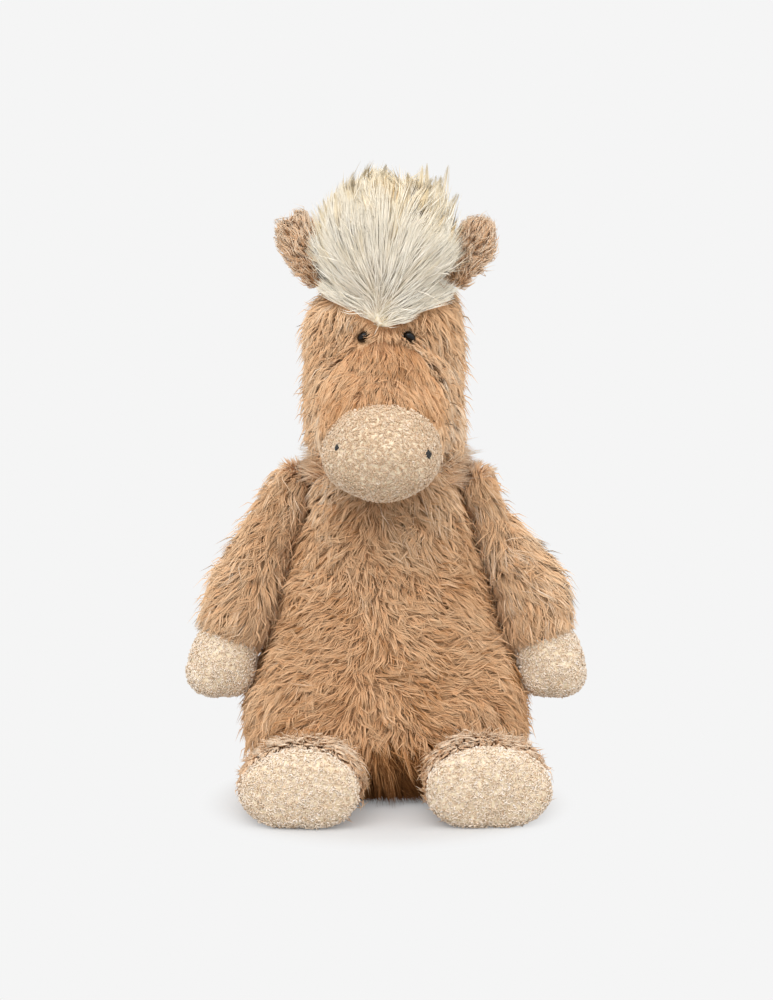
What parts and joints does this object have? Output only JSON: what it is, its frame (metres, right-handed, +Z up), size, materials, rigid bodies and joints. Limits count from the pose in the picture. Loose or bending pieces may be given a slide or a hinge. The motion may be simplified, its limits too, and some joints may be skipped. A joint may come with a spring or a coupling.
{
  "type": "plush horse",
  "caption": "Seated soft toy horse of long pile cloth with bouclé muzzle, hands and soles, and a pale fan of mane; sits on its own weighted seat.",
  "frame": {"origin": "middle of the flat underside of the seat", "axes": "+Z up, the face looks along -Y, the horse's own left is +X"},
  "size_m": [0.1926, 0.179, 0.2923],
  "materials": {
    "long_pile": "long soft pile, tan",
    "looped_cloth": "bouclé, cream",
    "mane_pile": "very long straight pile, pale cream with golden tips",
    "fibre": "loose white polyester fibre",
    "pouch_cloth": "plain woven pouch of pellets",
    "black_plastic": "glossy black",
    "washer_plastic": "matt off-white",
    "black_thread": "satin stitch",
    "tan_thread": "sewing thread"
  },
  "bodies": {
    "trunk": {"body_cover": "long_pile", "seat_panel": "long_pile", "body_filling": "fibre", "pellet_pouch": "pouch_cloth"},
    "neck": {"neck_seam": "tan_thread"},
    "head": {"head_cover": "long_pile", "head_filling": "fibre", "muzzle_cover": "looped_cloth", "mane": "mane_pile", "left_eye": "black_plastic", "right_eye": "black_plastic", "left_eye_washer": "washer_plastic", "right_eye_washer": "washer_plastic", "left_nostril": "black_thread", "right_nostril": "black_thread"},
    "left_ear": {"left_ear_cover": "long_pile", "left_ear_lining": "long_pile"},
    "right_ear": {"right_ear_cover": "long_pile", "right_ear_lining": "long_pile"},
    "left_shoulder": {"left_shoulder_seam": "tan_thread"},
    "right_shoulder": {"right_shoulder_seam": "tan_thread"},
    "left_arm": {"left_arm_cover": "long_pile", "left_arm_filling": "fibre", "left_hand_cover": "looped_cloth"},
    "right_arm": {"right_arm_cover": "long_pile", "right_arm_filling": "fibre", "right_hand_cover": "looped_cloth"},
    "left_leg": {"left_leg_cover": "long_pile", "left_leg_filling": "fibre", "left_sole": "looped_cloth"},
    "right_leg": {"right_leg_cover": "long_pile", "right_leg_filling": "fibre", "right_sole": "looped_cloth"},
    "tail": {"tail": "mane_pile"}
  },
  "joints": [
    {"name": "neck_turn", "type": "hinge", "parent": "trunk", "child": "neck", "pos_m": [0, 0, 0.146], "axis": [0, 0, 1], "range_deg": [-25, 25], "stiffness_Nm_per_rad": 0.25},
    {"name": "neck_nod", "type": "hinge", "parent": "neck", "child": "head", "pos_m": [0, 0, 0.146], "axis": [1, 0, 0], "range_deg": [-15, 12], "stiffness_Nm_per_rad": 0.6},
    {"name": "left_ear_flop", "type": "hinge", "parent": "head", "child": "left_ear", "pos_m": [0.0311, 0.006, 0.2402], "axis": [0, 1, 0], "range_deg": [0, 40], "stiffness_Nm_per_rad": 0.01},
    {"name": "right_ear_flop", "type": "hinge", "parent": "head", "child": "right_ear", "pos_m": [-0.0311, 0.006, 0.2402], "axis": [0, -1, 0], "range_deg": [0, 40], "stiffness_Nm_per_rad": 0.01},
    {"name": "left_shoulder_swing", "type": "hinge", "parent": "trunk", "child": "left_shoulder", "pos_m": [0.04594, 0, 0.14582], "axis": [0.9589, 0, 0.2836], "range_deg": [-100, 40], "stiffness_Nm_per_rad": 0.06},
    {"name": "left_shoulder_lift", "type": "hinge", "parent": "left_shoulder", "child": "left_arm", "pos_m": [0.04594, 0, 0.14582], "axis": [-0.0346, -0.9925, 0.1169], "range_deg": [0, 80], "stiffness_Nm_per_rad": 0.06},
    {"name": "right_shoulder_swing", "type": "hinge", "parent": "trunk", "child": "right_shoulder", "pos_m": [-0.04594, 0, 0.14582], "axis": [-0.9589, 0, 0.2836], "range_deg": [-40, 100], "stiffness_Nm_per_rad": 0.06},
    {"name": "right_shoulder_lift", "type": "hinge", "parent": "right_shoulder", "child": "right_arm", "pos_m": [-0.04594, 0, 0.14582], "axis": [-0.0346, 0.9925, -0.1169], "range_deg": [0, 80], "stiffness_Nm_per_rad": 0.06},
    {"name": "left_hip_fold", "type": "hinge", "parent": "trunk", "child": "left_leg", "pos_m": [0.045, -0.06466, 0.018], "axis": [-0.9976, -0.0698, 0], "range_deg": [-75, 80], "stiffness_Nm_per_rad": 0.08},
    {"name": "right_hip_fold", "type": "hinge", "parent": "trunk", "child": "right_leg", "pos_m": [-0.038, -0.06735, 0.018], "axis": [-0.9976, 0.0698, 0], "range_deg": [-75, 80], "stiffness_Nm_per_rad": 0.08},
    {"name": "tail_lift", "type": "hinge", "parent": "trunk", "child": "tail", "pos_m": [0, 0.0572, 0.062], "axis": [1, 0, 0], "range_deg": [0, 100]}
  ]
}
